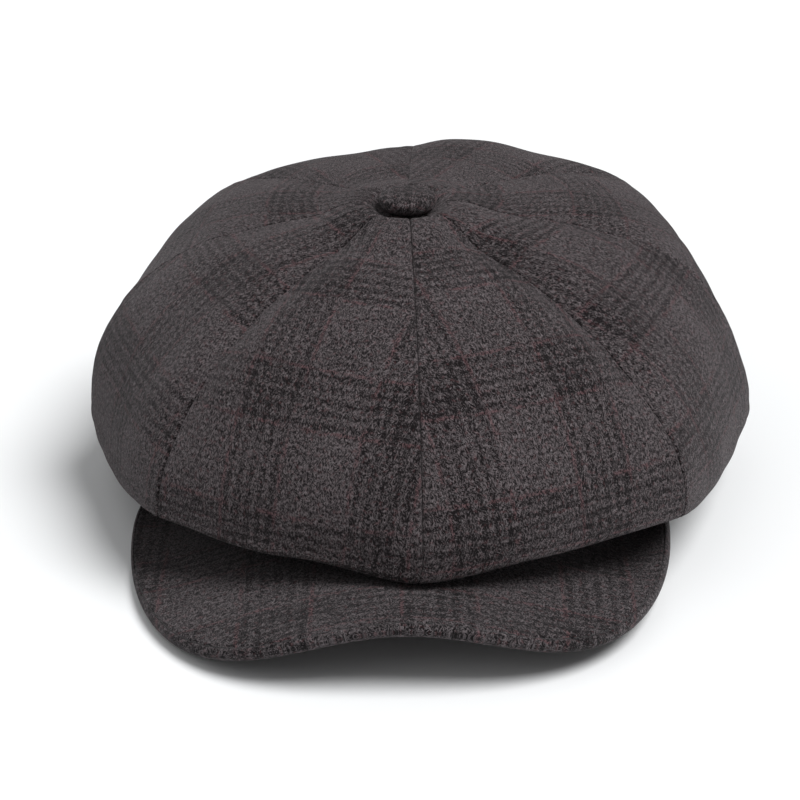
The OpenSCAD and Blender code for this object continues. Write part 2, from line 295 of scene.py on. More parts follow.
# Where the cap as worn has filled out or sunk in: azimuth in degrees, s, height, and both widths
BULGES = ((135, 0.70, 3.5, 20, 0.20), (225, 0.72, 3.0, 18, 0.18),
          (95, 0.80, -2.6, 32, 0.20), (95, 1.28, 2.4, 34, 0.20), (92, 1.04, 2.2, 24, 0.12),
          (166, 0.42, 2.4, 12, 0.14), (194, 0.42, -1.6, 12, 0.14),
          (139, 0.60, 2.4, 13, 0.13))


def bulges(a, s):
    """Height of the places where the worn crown has filled out or sunk in."""
    total = 0
    for azimuth, at, height, wide, long in BULGES:
        turn = (a - math.radians(azimuth)) / math.radians(wide)
        total = total + height * np.exp(-turn ** 2 - ((s - at) / long) ** 2)
    return total


def seam_relief(k, s, side, width, point):
    """Soft valley, turned-in cloth and puckers along both of panel k's seams."""
    edge = (1 - np.abs(side)) * width
    seam = np.where(side > 0, (k + 1) % len(SIDES), k)
    reach = VALLEY_REACHES[seam]
    top = smooth(0.06, 0.2, s) * (1 - smooth(reach * 0.75, reach * 1.15, s))
    valley = -VALLEY_DEPTHS[seam] * top * np.exp(-(edge / VALLEY_W) ** 2)
    roll = seam_roll(edge, SEAM_ROLL_W, SEAM_DEPTHS[seam] * (1 + 0.4 * waves(point, 13, 17)))
    beside = np.exp(-(edge / PUCKER_REACH) ** 2) * (1 - np.exp(-(edge / PUCKER_START) ** 2))
    pucker = PUCKER_H * waves(point, PUCKER_LENGTH, 11) * beside * (1 - smooth(1.6, 1.85, s))
    return valley + roll * smooth(0.02, 0.06, s) + pucker


def crown_relief(k, a, s, side, width, point):
    """How far panel k's face stands out from the crown's smooth surface. side runs from -1 to 1
    across the panel, and width is half the panel's width there."""
    puff = PUFFS[k] * smooth(0.15, 0.7, s) * (1 - smooth(1.35, 2.0, s)) * (1 - side ** 2)
    from_button = np.linalg.norm(point[..., :2] - APEX[:2], axis=-1)
    ring = DIMPLE * smooth(BUTTON_R - 0.5, BUTTON_R + 4.5, from_button)
    ring = ring * (1 - smooth(BUTTON_R + 7, BUTTON_R + 28, from_button))
    soft = SOFT_H * waves(point, SOFT_LENGTH, 3) * smooth(0.2, 0.6, s) * (1 - smooth(1.6, 2.0, s))
    small = SMALL_H * waves(point, SMALL_LENGTH, 5) * smooth(0.1, 0.3, s) * (1 - smooth(1.7, 2.0, s))
    gather = GATHER_H * np.sin(side * 9 + k) * smooth(1.3, 1.6, s) * (1 - smooth(1.65, 1.85, s))
    seams = seam_relief(k, s, side, width, point)
    return bulges(a, s) + puff + ring + seams + soft + small + gather


def crown_panel(k):
    """Panel k of the crown, from the button down over the widest level to the headband."""
    s_top = math.asin(BUTTON_HOLE / CROWN_HALF[0]) / (math.pi / 2)
    s = np.concatenate([s_top + (1 - s_top) * np.linspace(0, 1, DOME_ROWS, endpoint=False),
                        np.linspace(1, 2, BAG_ROWS)])[:, None]
    side = across_panel(COLS + 1, 1.7)
    s, side = s + 0 * side, side + 0 * s
    a = (k + 0.5 + side / 2) * GORE
    point, out = crown_frame(a, s)
    width = np.linalg.norm(point[:, -1] - point[:, 0], axis=-1)[:, None] / 2
    height = crown_relief(k, a, s, side, width, point)
    face = point + out * height[..., None]
    from_front = np.minimum(a, math.tau - a)
    hangs = smooth(0.9, 1.35, s) * (1 - smooth(1.6, 1.95, s))
    share = FOLD_MIDDLE + (1 - FOLD_MIDDLE) * smooth(0, 0.3, from_front)
    face[..., 2] += FOLD_LIFT * share * (1 - smooth(0.6, 1.3, from_front)) * hangs
    middle = point[:, COLS // 2]
    along = arc_length(middle[:, None], 0)
    cloth = np.stack([side * width, along + 0 * side], -1)
    cloth += PLAID_STARTS[k]
    thick = WOOL_T * (1 - SEWN_THIN * smooth(1.75, 2.0, s))
    return solid_sheet("crown_" + SIDES[k], face, face - out * thick[..., None], cloth)


# ---- visor
def powered(x, n):
    """x to the power n, with its sign kept."""
    return np.sign(x) * np.abs(x) ** n


def visor_edge(u):
    """The visor's outer edge, where u runs from -1 at the left end to 1 at the right."""
    x = VISOR_HALF_W * powered(np.sin(u * math.pi / 2), 2 / VISOR_FULL)
    y = -VISOR_REACH * np.cos(u * math.pi / 2) ** (2 / VISOR_FULL)
    arch = np.cos(math.pi / 2 * np.minimum(1, np.abs(x) / ARCH_HALF_W)) ** 2
    lift = VISOR_ROLL * (1 + x / VISOR_HALF_W) / 2
    return np.stack([x, y, VISOR_LOW + (VISOR_ARCH - VISOR_LOW) * arch + lift], -1)


def visor_mid(u, v):
    """Middle layer of the visor: u runs along the edge, and v from the headband to the edge."""
    a = VISOR_END * u
    r = oval(a, BAND_OUT + 0.2)
    root = around(a, r, edge_z(-r * np.cos(a)) + VISOR_ROOT)
    k = (v * np.sqrt(1 - np.abs(u) ** TIP_ROUND))[..., None]
    step = visor_edge(u) - root
    return root + step * np.concatenate([k, k, k ** VISOR_DROOP], -1)


def visor_up(u, v):
    """Upward direction square to the visor's middle layer."""
    du = visor_mid(np.minimum(0.98, u + 0.01), v) - visor_mid(np.maximum(-0.98, u - 0.01), v)
    dv = visor_mid(u, np.minimum(1, v + 0.02)) - visor_mid(u, np.maximum(0, v - 0.02))
    n = np.cross(dv, du)
    n /= np.linalg.norm(n, axis=-1, keepdims=True)
    return n * np.where(n[..., 2:] > 0, 1, -1)


LIP = 2.5                               # width over which the edge is rounded
STITCH_IN = 2.8                         # distance of the stitches from the edge
VISOR_TIP = 0.995
VISOR_STRETCH = 0.87                    # width on the flat of the cloth moulded over the visor
VISOR_PLAID = np.array([-12.0, 20.0])   # where the plaid falls on it
GROOVE_DEPTH, GROOVE_W = 0.6, 0.6
BOARD_ROOM = 0.35                       # space between the covers and the board
# Distances of the outermost rows from the edge, closer together where the lip rounds off
EDGE_ROWS = np.array([6, 5, 4.2, 3.7, 3.4, 3.1, 2.8, 2.5, 2.2, 1.9, 1.5, 1.1, 0.7, 0.4, 0.15, 0])
FULL_DEPTH = 12                         # the visor is shallower than this only at its two tips


def visor_rows(u):
    """Rows across the visor, with their distance from the edge: fine near the lip."""
    depth = np.linalg.norm(visor_mid(u, 0 * u + 1) - visor_mid(u, 0 * u), axis=-1)[None, :]
    near = EDGE_ROWS[:, None] * np.minimum(1, depth / FULL_DEPTH)
    inner = np.linspace(0, 1, 22, endpoint=False)[:, None] * (depth - near[:1])
    gone = np.concatenate([inner, depth - near])
    return gone / depth, depth - gone


def visor_height(from_edge, u):
    """Height of a cover's face above the middle layer: level, with a groove at the stitches, and
    rounded over the lip."""
    full = BOARD_T / 2 + WOOL_T
    round_off = np.sqrt(np.clip(1 - ((LIP - np.clip(from_edge, 0, LIP)) / LIP) ** 2, 0, 1))
    groove = GROOVE_DEPTH * np.exp(-((from_edge - STITCH_IN) / GROOVE_W) ** 2)
    stitch_pull = 0.15 * np.cos(u * 260) * np.exp(-((from_edge - STITCH_IN) / 1.6) ** 2)
    return 0.15 + (full - 0.15) * round_off - groove + stitch_pull


def clear_of_band(points):
    """The same points, with any that lie inside the headband's outer face moved out to it."""
    a = np.arctan2(points[..., 0], -points[..., 1])
    away = oval(a, BAND_OUT + 0.2) / np.hypot(points[..., 0], points[..., 1])
    scale = np.maximum(1, away)[..., None]
    return points * np.concatenate([scale, scale, 0 * scale + 1], -1)


def visor_cover(name, side):
    """One of the visor's cloth covers: side is 1 for the upper one and -1 for the lower."""
    u = VISOR_TIP * powered(np.sin(np.linspace(-math.pi / 2, math.pi / 2, 281)), 1.5)
    v, from_edge = visor_rows(u)
    u = u[None, :] + 0 * v
    mid, up = visor_mid(u, v), visor_up(u, v) * side
    high = visor_height(from_edge, u)
    bumps = 0.3 * waves(mid, 34, 21) + 0.12 * waves(mid, 7, 22)
    high = high + bumps * smooth(3, 8, from_edge) * smooth(0, 0.2, v)
    low = np.where(from_edge > STITCH_IN, BOARD_T / 2 + BOARD_ROOM, 0.05)
    low = np.minimum(low, high - 0.1)
    face = mid + up * high[..., None]
    cloth = np.stack([mid[..., 0] * VISOR_STRETCH, -mid[..., 1]], -1) + VISOR_PLAID
    outward = np.gradient(cloth, axis=0)
    outward /= np.linalg.norm(outward, axis=-1, keepdims=True)
    cloth += outward * (arc_length(face, 0) - arc_length(mid, 0))[..., None]
    inside = mid + up * low[..., None]
    return solid_sheet(name, clear_of_band(face), clear_of_band(inside), cloth)


def stitch_row(name, centres, along, up, length, thick):
    """A row of thread stitches: each a short bead with rounded ends, lying along the cloth."""
    rings, sides = 7, 6
    t = np.linspace(-1, 1, rings)
    radius = thick / 2 * np.sqrt(np.clip(1 - np.abs(t) ** 4, 0.04, 1))
    angle = np.arange(sides) * math.tau / sides
    across = np.cross(up, along)
    lift = up[:, None, None] * np.sin(angle)[None, None, :, None] * radius[None, :, None, None]
    wide = across[:, None, None] * np.cos(angle)[None, None, :, None] * radius[None, :, None, None]
    run = along[:, None, None] * (t * length / 2)[None, :, None, None]
    points = centres[:, None, None] + run + lift + wide
    index = np.arange(points[..., 0].size).reshape(points.shape[:3])
    nxt = np.roll(index, -1, axis=2)
    faces = np.stack([index[:, :-1], index[:, 1:], nxt[:, 1:], nxt[:, :-1]], -1).reshape(-1, 4)
    caps = [np.stack([index[:, end, i] for i in order], -1)
            for end, order in ((0, (0, 1, 2, 3)), (0, (0, 3, 4, 5)),
                               (-1, (3, 2, 1, 0)), (-1, (5, 4, 3, 0)))]
    points = points.reshape(-1, 3)
    return new_mesh(name, points, np.concatenate([faces] + caps), points[:, :2])


def visor_stitching():
    """Stitches at even steps along the dip inside the lip, on both faces of the visor."""
    pitch, length, thick = 3.6, 3.0, 0.55
    u = 0.97 * powered(np.linspace(-1, 1, 3000), 1.5)
    depth = np.linalg.norm(visor_mid(u, 0 * u + 1) - visor_mid(u, 0 * u), axis=-1)
    v = 1 - STITCH_IN * np.minimum(1, depth / FULL_DEPTH) / depth
    run = arc_length(visor_mid(u, v), 0)
    even = np.arange(pitch, run[-1] - pitch, pitch)
    u, v = np.interp(even, run, u), np.interp(even, run, v)
    along = visor_mid(u + 0.002, v) - visor_mid(u - 0.002, v)
    along /= np.linalg.norm(along, axis=-1, keepdims=True)
    up = visor_up(u, v)
    high = visor_height(np.full(u.shape, STITCH_IN), u) + 0.1
    mid = visor_mid(u, v)
    centres = np.concatenate([mid + up * high[:, None], mid - up * high[:, None]])
    return stitch_row("visor_stitches", centres, np.tile(along, (2, 1)), np.tile(up, (2, 1)),
                      length, thick)


# ---- headband and sweatband
def band(name, out_half, thick, low, high, edge_round, rows=18, cols=300):
    """An upright strip round the head, whose lower edge follows the lifted front. Its ends meet in
    a seam at the back, where its columns are closest together."""
    a = math.pi + math.pi * (1 - np.cos(np.arange(cols) * math.pi / cols))
    t = np.linspace(0, 1, rows)[:, None]
    t = 0.5 - 0.5 * np.cos(math.pi * t)
    r = oval(a, out_half)[None, :] + 0 * t
    foot = edge_z(-oval(a, BAND_OUT) * np.cos(a))[None, :]
    z = foot + low + (high - low) * t
    side = np.minimum(z - foot - low, foot + high - z)
    turn = edge_round * (1 - np.sqrt(np.clip(1 - (1 - np.clip(side / edge_round, 0, 1)) ** 2, 0, 1)))
    a = a[None, :] + 0 * t
    from_seam = r * np.abs((a % math.tau) - math.pi)
    seam = seam_roll(from_seam, edge_round * 1.5, thick * 0.6)
    outer = around(a, r - turn * 0.6 + seam, z)
    inner = around(a, r - thick + turn * 0.3, z)
    cloth = np.stack([arc_length(outer, 1), z - foot], -1)
    return solid_sheet(name, outer, inner, cloth, ring=True)


def sweatband_stitching():
    """Stitches along the sweatband's inner face, below its upper edge."""
    pitch, length, thick, below_top = 3.4, 2.8, 0.5, 5.2
    a = np.linspace(0, math.tau, 4000)
    half = SWEAT_OUT - SWEAT_T
    r = oval(a, half - 0.1)
    foot = edge_z(-oval(a, BAND_OUT) * np.cos(a))
    line = around(a, r, foot + BAND_H - below_top)
    run = arc_length(line, 0)
    even = np.arange(0, run[-1] - pitch / 2, pitch)
    a = np.interp(even, run, a)
    centres = np.stack([np.interp(even, run, line[:, i]) for i in range(3)], -1)
    along = np.gradient(line, axis=0)
    along = np.stack([np.interp(even, run, along[:, i]) for i in range(3)], -1)
    along /= np.linalg.norm(along, axis=-1, keepdims=True)
    up = np.stack([-np.sin(a), np.cos(a), 0 * a], -1)
    return stitch_row("sweatband_stitches", centres, along, up, length, thick)


# ---- lining
LINING_TUCK, LINING_CLEAR, LINING_DROP = 8.0, 3.0, 11.0
LINING_BULGE, LINING_FRONT_BULGE = 30.0, 10.0
LINING_COLS = 32
TUCKED = 0.1                            # share of q in which the lining stands behind the sweatband
LINING_SLACK, LINING_WAVE_H, LINING_SEAM_H = 1.6, 0.9, 0.9


def lining_point(a, q, t):
    """Point on the lining: q runs from 0 at its lower edge to 1 at the top, t deep in the cloth."""
    end = oval(a, LINING_OUT - t)
    top = edge_z(-end * np.cos(a)) + BAND_H
    up = APEX[2] - LINING_DROP - LINING_T + t
    bulge = LINING_BULGE + (LINING_FRONT_BULGE - LINING_BULGE) * front(a)
    shoulder = 0.8 - 0.3 * front(a)
    k = np.clip((q - TUCKED) / (1 - TUCKED), 0, 1)
    r = cubic(k, [end, end + bulge, shoulder * end, BUTTON_HOLE])
    z = cubic(k, [top + LINING_CLEAR, top + 21 - t / 2, up, up])
    r = np.where(q < TUCKED, end, r)
    z = np.where(q < TUCKED, top - LINING_TUCK + q / TUCKED * (LINING_TUCK + LINING_CLEAR), z)
    point = around(a, r, z)
    point[..., :2] += APEX[:2] * k[..., None]
    return point


def lining_panel(k):
    """Panel k of the lining, hanging slack between its seams."""
    q = np.concatenate([np.linspace(0, TUCKED, 5, endpoint=False), np.linspace(TUCKED, 1, 60)])[:, None]
    side = across_panel(LINING_COLS + 1, 1.6)
    q, side = q + 0 * side, side + 0 * q
    a = (k + 0.5 + side / 2) * GORE
    face = lining_point(a, q, 0.0)
    below = lining_point(a, q, LINING_T)
    width = np.linalg.norm(face[:, -1] - face[:, 0], axis=-1)[:, None] / 2
    edge = (1 - np.abs(side)) * width
    out = np.cross(np.gradient(face, axis=1), np.gradient(face, axis=0))
    out /= np.maximum(1e-9, np.linalg.norm(out, axis=-1, keepdims=True))
    out *= np.sign(np.sum(out * (face - np.array([0, 0, 60.0])), -1, keepdims=True))
    free = smooth(0.12, 0.3, q)
    loose = (LINING_WAVE_H * waves(face, 40, 40 + k) - LINING_SLACK) * (1 - side ** 2)
    move = (seam_roll(edge, 1.2, -LINING_SEAM_H) + loose) * free * smooth(0.07, 0.2, 1 - q)
    along = arc_length(face[:, LINING_COLS // 2][:, None], 0)
    cloth = np.stack([side * width, along + 0 * side], -1)
    shift = out * move[..., None]
    return solid_sheet("lining_" + SIDES[k], face + shift, below + shift, cloth)


# ---- top button and the patches, turned about the crown's middle
GATHERS = 17                            # ruffles round the cloth that turns in under the button


def turned(name, profile, sides=96, gather=0.0, hole=False):
    """A closed piece turned about the button's axis from an outline of (radius, height) points. The
    outline starts and ends close to the axis, or is a loop round a hole. gather ruffles the cloth
    where it turns under."""
    r, z = np.array(profile, float).T[..., None]
    a = np.arange(sides) * math.tau / sides
    wobble = 1 + gather * np.cos(a * GATHERS) * smooth(2.5, 0.5, z)
    points = around(a + 0 * r, r * wobble, z, APEX[:2])
    points[..., 2] += APEX[2]
    index = np.arange(points[..., 0].size).reshape(points.shape[:2])
    nxt, down = np.roll(index, -1, axis=1), np.roll(index, -1, axis=0)
    faces = np.stack([index, nxt, np.roll(down, -1, axis=1), down], -1)
    faces = (faces if hole else faces[:-1]).reshape(-1, 4)
    caps = [] if hole else [index[0][::-1], index[-1]]
    run = arc_length(points, 0)
    cloth = np.stack([run * np.sin(a), -run * np.cos(a)], -1).reshape(-1, 2)
    return new_mesh(name, points.reshape(-1, 3), faces, cloth, caps)


BUTTON_FLOOR, BUTTON_H = 0.5, 7.0
COVER_T, TURNED_IN = 1.3, 7.5           # thickness of its cloth, and radius where that ends underneath
RIM_H, UNDERCUT = 4.1, 3.0              # height of the button's widest level, and how far it turns in
AXIS_R = 0.05                           # radius at which a turned outline stops short of the axis
PATCH_R, LINING_PATCH_R, TIE_HOLE_R = 13.0, 11.0, 1.4
PATCH_T, PATCH_DROP, LINING_PATCH_DROP = 0.8, 2.6, 0.9


def dome(r, h, floor, count=28):
    """Outline of a dome of that radius and height, from its top down to its rim."""
    t = np.linspace(math.pi / 2, 0, count)
    return [(max(AXIS_R, r * math.cos(i) ** 0.8), floor + h * math.sin(i)) for i in t]


def button_cover():
    """The cloth over the button's dome, turned in underneath."""
    outside = dome(BUTTON_R, BUTTON_H - RIM_H, BUTTON_FLOOR + RIM_H)
    under = [(BUTTON_R - UNDERCUT * (1 - math.cos(i)), BUTTON_FLOOR + RIM_H * (1 - math.sin(i)))
             for i in np.linspace(0.15, math.pi / 2, 9)]
    inside = dome(BUTTON_R - COVER_T + 0.05, BUTTON_H - 0.9 - COVER_T, BUTTON_FLOOR + COVER_T)[::-1]
    fold = [(TURNED_IN, BUTTON_FLOOR), (TURNED_IN, BUTTON_FLOOR + COVER_T)]
    return turned("button_cloth", outside + under + fold + inside, gather=0.012)


def patch_outline(radius, low, thick, hole):
    """Outline of a round patch with a soft edge and a hole for the tie."""
    edge = [(radius - 0.4 * thick * (1 - math.cos(i)), low + thick / 2 + thick / 2 * math.sin(i))
            for i in np.linspace(-math.pi / 2, math.pi / 2, 9)]
    rows = [(r, low) for r in np.linspace(hole, radius - 1, 10)] + edge
    return rows + [(r, low + thick) for r in np.linspace(radius - 1, hole, 10)]


# ---- materials
class Graph:
    """Builds a material's nodes; an argument may be a socket or a constant."""

    def __init__(self, name):
        self.material = bpy.data.materials.new(name)
        self.material.use_nodes = True
        self.tree = self.material.node_tree
        self.shader = self.tree.nodes["Principled BSDF"]

    def node(self, kind, inputs=(), **settings):
        made = self.tree.nodes.new("ShaderNode" + kind)
        for key, value in settings.items():
            setattr(made, key, value)
        for key, value in dict(inputs).items():
            self.put(made.inputs[key], value)
        return made

    def put(self, socket, value):
        if isinstance(value, bpy.types.NodeSocket):
            self.tree.links.new(value, socket)
        else:
            socket.default_value = value

    def math(self, operation, *values):
        return self.node("Math", enumerate(values), operation=operation).outputs[0]

    def step(self, value, start, end):
        """0 at start, rising smoothly to 1 at end; start may be above end."""
        made = self.node("MapRange", {"Value": value, "From Min": start, "From Max": end},
                         interpolation_type="SMOOTHSTEP")
        return made.outputs[0]

    def noise(self, place, scale, detail=2.0, roughness=0.5, distortion=0.0):
        return self.node("TexNoise", {"Vector": place, "Scale": scale, "Detail": detail,
                                      "Roughness": roughness, "Distortion": distortion}).outputs[0]

    def mix(self, share, a, b):
        made = self.node("Mix", data_type="RGBA")
        for socket, value in zip((made.inputs["Factor"], made.inputs[6], made.inputs[7]), (share, a, b)):
            self.put(socket, value)
        return made.outputs[2]

    def scaled(self, place, x, y, z=1.0):
        return self.node("VectorMath", {0: place, 1: (x, y, z)}, operation="MULTIPLY").outputs[0]

    def warped(self, place, scale, far):
        """The place shifted by up to about half of far in the plane of the cloth."""
        wobble = self.node("TexNoise", {"Vector": place, "Scale": scale, "Detail": 1.0}).outputs["Color"]
        wobble = self.node("VectorMath", {0: wobble, 1: (0.5, 0.5, 0.5)}, operation="SUBTRACT").outputs[0]
        return self.node("VectorMath", {0: wobble, 1: (far, far, 0), 2: place},
                         operation="MULTIPLY_ADD").outputs[0]

    def cloth(self):
        return self.node("Attribute", attribute_name="cloth").outputs["Vector"]

    def body(self):
        """Place on the object in millimetres, for pieces with no flat cut."""
        place = self.node("TexCoord").outputs["Object"]
        return self.scaled(place, 1 / MM, 1 / MM, 1 / MM)

    def finish(self, colour, height, depth, strength=1.0, **sockets):
        """Colour, bump of that depth in millimetres, and constants on the shader's own sockets."""
        self.put(self.shader.inputs["Base Color"], colour)
        bump = self.node("Bump", {"Height": height, "Distance": depth * MM, "Strength": strength})
        self.tree.links.new(bump.outputs[0], self.shader.inputs["Normal"])
        for key, value in sockets.items():
            self.put(self.shader.inputs[key.replace("_", " ")], value)
        return self.material


def rgb(r, g, b):
    """A colour given as on screen, for a shader."""
    return tuple((c / 255) ** 2.2 for c in (r, g, b)) + (1.0,)


PLAID_REPEATS = (50.0, 54.0)            # across and along the cloth
LINE_PITCH, GROUP_HALF = 4.6, 10.4
LINE_WANDER, LINE_STRENGTH = 1.7, 0.275
CHECK_AT = 11.4                         # distance of the wine-red lines from a group's middle
# Direction of each layer of fibres in degrees, and how fine it is across and along that direction
FIBRES = ((6, 2.3, 0.6), (-26, 2.1, 0.65), (50, 2.3, 0.8))
FIBRE_MIDDLE, MIDDLE_TONE = 0.58, 0.46  # usual height of the fibre layers, and its place from dark to light
FIBRE_CONTRAST, BLOTCHES, CLOUDS = 6.2, 1.15, 0.4
WOOL_DARK, WOOL_LIGHT = rgb(20, 17, 18), rgb(102, 95, 97)
VISOR_DARK, VISOR_LIGHT = rgb(18, 16, 17), rgb(97, 91, 93)
WINE_RED, RED_FIBRE = rgb(96, 60, 63), rgb(98, 68, 70)
# The first colour here is painted glint, pale flecks standing in for light caught on fibre tips; the second
# is the loose hairs' own pale colour.
PAINTED_GLINT, PALE_HAIR = rgb(140, 133, 135), rgb(140, 136, 138)


def fibres(g, place):
    """Short strands lying in a few directions, each hiding those under it where it is brighter."""
    top = 0.0
    for degrees, across, along in FIBRES:
        turned_place = g.node("VectorRotate", {"Vector": place, "Angle": math.radians(degrees)},
                              rotation_type="Z_AXIS").outputs[0]
        layer = g.noise(g.scaled(turned_place, across, along), 1.0, 2.5, 0.6)
        top = g.math("MAXIMUM", layer, top)
    return top


def plaid(g, place):
    """How dark the plaid's lines are at a place, and how red: groups of dark lines both ways, each
    group edged with wine-red lines."""
    drift = g.math("SUBTRACT", g.noise(place, 0.5, 3), 0.5)
    parts = g.node("SeparateXYZ", {0: place}).outputs
    lines, checks = [], []
    for axis, repeat in enumerate(PLAID_REPEATS):
        x = g.math("MULTIPLY_ADD", drift, LINE_WANDER, parts[axis])
        from_group = g.math("PINGPONG", x, repeat / 2)
        group = g.step(from_group, GROUP_HALF + 0.6, GROUP_HALF - 0.6)
        line = g.step(g.math("PINGPONG", from_group, LINE_PITCH / 2), 1.8, 0.5)
        lines.append(g.math("MULTIPLY", group, line))
        from_check = g.math("ABSOLUTE", g.math("SUBTRACT", from_group, CHECK_AT))
        checks.append(g.step(from_check, 0.95, 0.35))
    return g.math("ADD", *lines), g.math("MAXIMUM", *checks)


def loose_hairs(g, place, warped):
    """A few thin pale hairs that curl over the cloth, in patches."""
    hair = g.noise(warped, 0.3, 1.5, 0.5, 1.6)
    hair = g.step(g.math("ABSOLUTE", g.math("SUBTRACT", hair, 0.5)), 0.012, 0.003)
    return g.math("MULTIPLY", hair, g.step(g.noise(place, 0.21, 2), 0.54, 0.62))


def wool(name, dark, light):
    """Brushed wool: short fibres over a faded glen plaid, with a few loose hairs and painted glints on the
    highest strands.
    """
    g = Graph(name)
    place = g.cloth()
    lines, checks = plaid(g, place)
    warped = g.warped(place, 0.2, 2.5)
    strands = fibres(g, warped)
    medium = g.noise(place, 0.6, 2, 0.6)
    broad = g.noise(place, 0.045, 3)
    tone = g.math("MULTIPLY_ADD", g.math("SUBTRACT", strands, FIBRE_MIDDLE), FIBRE_CONTRAST, MIDDLE_TONE)
    tone = g.math("MULTIPLY_ADD", g.math("SUBTRACT", medium, 0.5), BLOTCHES, tone)
    tone = g.math("MULTIPLY_ADD", g.math("SUBTRACT", broad, 0.5), CLOUDS, tone)
    faded = g.math("MULTIPLY", g.step(g.noise(place, 0.11, 2), 0.15, 0.62), -LINE_STRENGTH)
    tone = g.math("MULTIPLY_ADD", lines, faded, tone)
    shade = g.mix(g.math("MAXIMUM", g.math("MINIMUM", tone, 1.0), 0.02), dark, light)
    kept = g.step(g.noise(place, 0.12, 3), 0.38, 0.55)
    check = g.math("MULTIPLY", checks, kept)
    check = g.math("MULTIPLY", check, g.step(strands, 0.5, 0.68))
    shade = g.mix(g.math("MULTIPLY", check, 0.62), shade, WINE_RED)
    blush = g.math("MULTIPLY", g.step(g.noise(place, 0.55, 2), 0.56, 0.72), 0.3)
    shade = g.mix(blush, shade, RED_FIBRE)
    # Painted glint: the highest strands are lightened towards a pale colour, standing in for light catching
    # the fibre tips.
    painted_glints = g.math("MULTIPLY", g.step(strands, 0.66, 0.82), 0.55)
    shade = g.mix(painted_glints, shade, PAINTED_GLINT)
    hair = loose_hairs(g, place, warped)
    shade = g.mix(g.math("MULTIPLY", hair, 0.4), shade, PALE_HAIR)
    height = g.math("MULTIPLY_ADD", hair, 0.3, g.math("MULTIPLY_ADD", medium, 0.6, strands))
    return g.finish(shade, height, 0.7, 0.9, Roughness=0.95, Specular_IOR_Level=0.12,
                    Sheen_Weight=0.12, Sheen_Roughness=0.45, Sheen_Tint=(0.85, 0.82, 0.84, 1))


def woven(name, colour, pale, pitch, depth, rough, sheen):
    """A plain fine weave with slight streaks along the threads."""
    g = Graph(name)
    place = g.cloth()
    parts = g.node("SeparateXYZ", {0: place}).outputs
    waves_both = [g.math("SINE", g.math("MULTIPLY", parts[i], math.tau / pitch)) for i in (0, 1)]
    weave = g.math("MULTIPLY", *waves_both)
    streak = g.noise(g.scaled(place, 1.4, 0.05), 1.0, 3)
    shade = g.mix(g.math("MULTIPLY_ADD", weave, 0.2, streak), colour, pale)
    return g.finish(shade, weave, depth, 0.6, Roughness=rough, Sheen_Weight=sheen,
                    Specular_IOR_Level=0.4)


def ribbed(name, colour, pale, pitch):
    """Cotton sweatband tape with upright ribs."""
    g = Graph(name)
    place = g.cloth()
    parts = g.node("SeparateXYZ", {0: place}).outputs
    rib = g.math("ABSOLUTE", g.math("SINE", g.math("MULTIPLY", parts[0], math.pi / pitch)))
    lint = g.noise(place, 1.3, 3)
    shade = g.mix(g.math("MULTIPLY", rib, g.math("MULTIPLY_ADD", lint, 0.8, 0.2)), colour, pale)
    return g.finish(shade, rib, 0.25, 0.9, Roughness=0.85, Sheen_Weight=0.15, Specular_IOR_Level=0.2)


def spun_thread(name, colour, pale):
    """Twisted sewing thread."""
    g = Graph(name)
    place = g.body()
    parts = g.node("SeparateXYZ", {0: place}).outputs
    across = g.math("ADD", parts[0], g.math("ADD", parts[1], parts[2]))
    twist = g.math("SINE", g.math("MULTIPLY", across, math.tau / 0.5))
    lint = g.noise(place, 3.0, 2)
    return g.finish(g.mix(g.math("MULTIPLY_ADD", twist, 0.25, lint), colour, pale), twist, 0.1, 0.7,
                    Roughness=0.7, Sheen_Weight=0.2, Specular_IOR_Level=0.25)


def moulded(name, colour, pale, rough, metallic=0.0):
    """Moulded board or pressed metal, with a slight grain and scuffs."""
    g = Graph(name)
    place = g.body()
    grain = g.noise(place, 2.5, 3)
    scuff = g.noise(g.scaled(place, 0.2, 1.6, 1.0), 1.0, 4, 0.7)
    return g.finish(g.mix(scuff, colour, pale), g.math("ADD", grain, scuff), 0.05, 0.5,
                    Roughness=rough, Metallic=metallic)


FLOOR_HALF = 6.0
# Each lamp's direction from the cap, its angle in degrees, and its strength
LAMPS = (("key", (0.5, -0.22, 1.0), 34, 3.05), ("fill", (-0.6, -0.35, 1.0), 60, 0.45))
SKY_STRENGTH = 0.25
CAMERA_DISTANCE, CAMERA_TILT = 0.95, math.radians(27)
LENS, SENSOR = 104.3, 36.0
AIM_ABOVE = 0.03566                     # distance of the aim above the origin, square to the view


def set_floor():
    """A wide pale floor at the height of the cap's lowest point."""
    g = Graph("floor_paint")
    tint = g.mix(g.noise(g.body(), 0.004, 2), rgb(238, 240, 241), rgb(242, 243, 244))
    floor_paint = g.finish(tint, g.noise(g.body(), 0.5, 2), 0.02, 0.2, Roughness=0.8)
    corners = [(x * FLOOR_HALF, y * FLOOR_HALF, cad_box[0][2])
               for x, y in ((-1, -1), (1, -1), (1, 1), (-1, 1))]
    mesh = bpy.data.meshes.new("floor")
    mesh.from_pydata(corners, [], [(0, 1, 2, 3)])
    floor = bpy.data.objects.new("floor", mesh)
    bpy.context.scene.collection.objects.link(floor)
    floor.data.materials.append(floor_paint)


def set_lights():
    """Soft light from above on the right, with a weaker one on the left and a white sky."""
    for name, place, angle, strength in LAMPS:
        lamp = bpy.data.lights.new(name, "SUN")
        lamp.angle = math.radians(angle)
        lamp.energy = strength
        obj = bpy.data.objects.new(name, lamp)
        obj.rotation_euler = (-Vector(place)).to_track_quat("-Z", "Y").to_euler()
        bpy.context.scene.collection.objects.link(obj)
    world = bpy.data.worlds.new("studio")
    world.use_nodes = True
    world.node_tree.nodes["Background"].inputs[0].default_value = (1, 1, 1, 1)
    world.node_tree.nodes["Background"].inputs[1].default_value = SKY_STRENGTH
    bpy.context.scene.world = world
    bpy.context.scene.view_settings.view_transform = "Standard"


